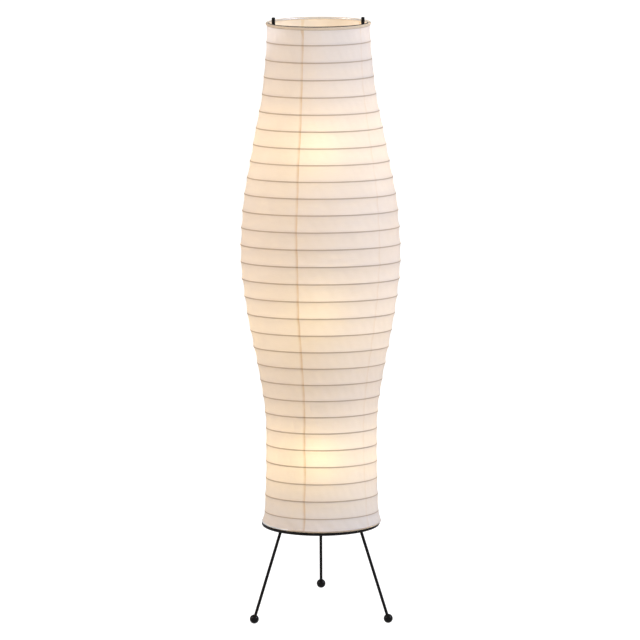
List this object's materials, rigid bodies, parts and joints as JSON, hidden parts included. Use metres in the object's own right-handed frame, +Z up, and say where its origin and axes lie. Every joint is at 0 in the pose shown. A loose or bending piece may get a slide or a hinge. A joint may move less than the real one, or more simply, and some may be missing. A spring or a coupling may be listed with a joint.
{
  "type": "paper lantern floor lamp",
  "caption": "Tall floor lamp with a bottle-shaped ribbed paper shade over a black wire tripod with ball feet; bulbs one above another light it from inside.",
  "frame": {"origin": "on the lamp's vertical axis, the line of the bulbs and of the hoops' centres, at the floor that the ball feet stand on", "axes": "+Z up along the lamp's axis; the front, with a leg on each side of it, faces -Y; +X to the right seen from the front, along the crossbar"},
  "size_m": [0.3202, 0.3577, 1.1962],
  "materials": {
    "black_steel": "satin",
    "black_gloss": "gloss",
    "soft_black": "matt",
    "black_plastic": "matt",
    "white_plastic": "matt",
    "lead_sheath": "satin",
    "porcelain": "gloss",
    "brass": "satin",
    "zinc_steel": "satin",
    "cap_metal": "satin",
    "frosted_glass": "frosted",
    "paper": "matt",
    "bamboo": "matt"
  },
  "bodies": {
    "frame": {"base_ring": "black_steel", "base_crossbar": "black_steel", "leg_front_left": "black_steel", "leg_front_right": "black_steel", "leg_back": "black_steel", "ball_front_left": "black_gloss", "ball_front_right": "black_gloss", "ball_back": "black_gloss", "upright_left": "black_steel", "upright_right": "black_steel", "tip_cap_left": "soft_black", "tip_cap_right": "soft_black", "stop_collar_left": "black_steel", "stop_collar_right": "black_steel", "bracket_lower": "black_steel", "bracket_middle": "black_steel", "bracket_upper": "black_steel", "holder_body_lower": "black_plastic", "holder_body_middle": "black_plastic", "holder_body_upper": "black_plastic", "holder_disc_lower": "porcelain", "holder_disc_middle": "porcelain", "holder_disc_upper": "porcelain", "holder_sleeve_lower": "brass", "holder_sleeve_middle": "brass", "holder_sleeve_upper": "brass", "holder_contacts": "brass", "nipples": "zinc_steel", "nipple_nuts": "zinc_steel", "junction_box": "black_plastic", "junction_lid": "black_plastic", "terminal_block": "white_plastic", "box_strap": "zinc_steel", "box_screws": "zinc_steel", "cord_bush": "black_plastic", "lead_lower": "lead_sheath", "lead_middle": "lead_sheath", "lead_upper": "lead_sheath", "lead_ties": "black_plastic"},
    "shade": {"shade_carrier": "black_steel", "top_hem": "paper", "top_hem_wire": "zinc_steel", "foot_hem": "paper", "foot_hem_wire": "zinc_steel", "hoops_neck": "bamboo", "hoops_belly": "bamboo", "hoops_foot": "bamboo", "gore_front": "paper", "gore_right": "paper", "gore_back_right": "paper", "gore_back_left": "paper", "gore_left": "paper", "seam_laps": "paper"},
    "bulb_lower": {"bulb_glass_lower": "frosted_glass", "bulb_cap_lower": "cap_metal"},
    "bulb_middle": {"bulb_glass_middle": "frosted_glass", "bulb_cap_middle": "cap_metal"},
    "bulb_upper": {"bulb_glass_upper": "frosted_glass", "bulb_cap_upper": "cap_metal"}
  },
  "joints": [
    {"name": "shade_lift_off", "type": "slide", "parent": "frame", "child": "shade", "axis": [0, 0, 1], "range_m": [0, 1.03]},
    {"name": "bulb_lower_unscrew", "type": "slide", "parent": "frame", "child": "bulb_lower", "axis": [0, 0, 1], "range_m": [0, 0.03]},
    {"name": "bulb_middle_unscrew", "type": "slide", "parent": "frame", "child": "bulb_middle", "axis": [0, 0, 1], "range_m": [0, 0.03]},
    {"name": "bulb_upper_unscrew", "type": "slide", "parent": "frame", "child": "bulb_upper", "axis": [0, 0, 1], "range_m": [0, 0.03]}
  ]
}
